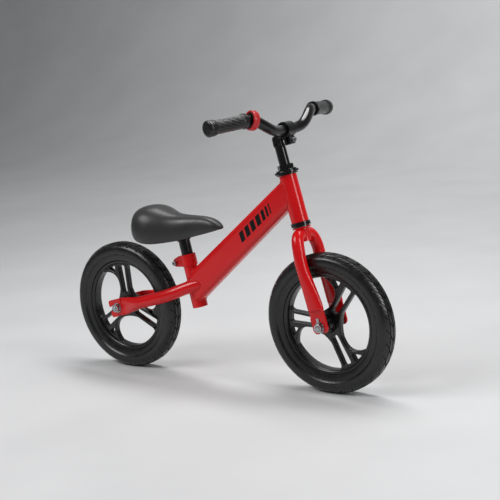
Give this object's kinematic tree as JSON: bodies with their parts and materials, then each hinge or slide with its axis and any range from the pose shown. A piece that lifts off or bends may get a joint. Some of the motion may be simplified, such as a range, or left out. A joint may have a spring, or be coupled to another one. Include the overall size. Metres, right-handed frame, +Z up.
{
  "type": "balance bike",
  "caption": "Child's balance bike with a low red tube frame, moulded black wheels with foam tyres, a padded saddle and a swept-up handlebar that steers the fork.",
  "frame": {"origin": "on the floor, midway between the two axles, in the middle plane of the frame", "axes": "+X forward towards the front wheel, +Y to the rider's left, +Z up"},
  "size_m": [0.8338, 0.4262, 0.5859],
  "materials": {
    "red_paint": "gloss red enamel over steel tube",
    "black_paint": "gloss black enamel over steel",
    "black_plastic": "satin moulded black plastic",
    "red_plastic": "gloss moulded red plastic",
    "tyre_foam": "satin black closed-cell foam",
    "grip_rubber": "satin black rubber",
    "saddle_skin": "satin dark grey synthetic skin over foam",
    "zinc": "zinc plated steel"
  },
  "bodies": {
    "frame": {"head_tube": "red_paint", "main_tube": "red_paint", "seat_tube": "red_paint", "chainstay_right": "red_paint", "chainstay_left": "red_paint", "seat_clamp": "red_paint", "seat_clamp_bolt": "zinc", "seat_clamp_nut": "zinc", "rear_axle": "zinc", "rear_axle_spacer_right": "zinc", "rear_axle_spacer_left": "zinc", "rear_axle_washer_right": "zinc", "rear_axle_washer_left": "zinc", "rear_axle_nut_right": "zinc", "rear_axle_nut_left": "zinc", "headset_lower_cup": "black_paint", "headset_upper_cup": "black_paint", "lower_bearing": "zinc", "upper_bearing": "zinc"},
    "fork": {"fork_steerer": "red_paint", "fork_blade_right": "red_paint", "fork_blade_left": "red_paint", "crown_race": "zinc", "headset_top_cap": "black_paint", "steerer_locknut": "black_paint", "front_axle": "zinc", "front_axle_spacer_right": "zinc", "front_axle_spacer_left": "zinc", "front_axle_washer_right": "zinc", "front_axle_washer_left": "zinc", "front_axle_nut_right": "zinc", "front_axle_nut_left": "zinc"},
    "stem_assembly": {"stem": "black_paint", "stem_wedge": "zinc", "stem_expander_bolt": "zinc", "stem_clamp_bolt": "zinc", "stem_clamp_nut": "zinc"},
    "handlebar_assembly": {"handlebar": "black_paint", "grip_right": "grip_rubber", "grip_left": "grip_rubber", "bell_mount": "black_plastic"},
    "bell": {"bell_ring": "red_plastic"},
    "rear_wheel_assembly": {"rear_wheel": "black_plastic", "rear_tyre": "tyre_foam", "rear_hub_bearing_right": "zinc", "rear_hub_bearing_left": "zinc"},
    "front_wheel_assembly": {"front_wheel": "black_plastic", "front_tyre": "tyre_foam", "front_hub_bearing_right": "zinc", "front_hub_bearing_left": "zinc"},
    "saddle_assembly": {"seat_post": "black_paint", "saddle_bracket": "black_paint", "saddle_base": "black_plastic", "saddle_cover": "saddle_skin", "saddle_screw_rear": "zinc", "saddle_screw_front": "zinc"}
  },
  "joints": [
    {"name": "steering", "type": "hinge", "parent": "frame", "child": "fork", "pos_m": [0.2173, 0, 0.3505], "axis": [-0.2267, 0, 0.974], "range_deg": [-90, 90]},
    {"name": "handlebar_height", "type": "slide", "parent": "fork", "child": "stem_assembly", "axis": [-0.2267, 0, 0.974], "range_m": [-0.025, 0.03]},
    {"name": "handlebar_tilt", "type": "hinge", "parent": "stem_assembly", "child": "handlebar_assembly", "pos_m": [0.20047, 0, 0.53755], "axis": [0, 1, 0], "range_deg": [-20, 20]},
    {"name": "bell_twist", "type": "hinge", "parent": "handlebar_assembly", "child": "bell", "pos_m": [0.19247, -0.103, 0.5664], "axis": [-0.342, -0.9089, 0.2385], "range_deg": [-25, 25], "stiffness_Nm_per_rad": 0.05},
    {"name": "front_wheel_spin", "type": "hinge", "parent": "fork", "child": "front_wheel_assembly", "pos_m": [0.27179, 0, 0.145], "axis": [0, 1, 0], "continuous": true},
    {"name": "rear_wheel_spin", "type": "hinge", "parent": "frame", "child": "rear_wheel_assembly", "pos_m": [-0.272, 0, 0.145], "axis": [0, 1, 0], "continuous": true},
    {"name": "saddle_height", "type": "slide", "parent": "frame", "child": "saddle_assembly", "axis": [-0.1959, 0, 0.9806], "range_m": [-0.02, 0.03]}
  ]
}
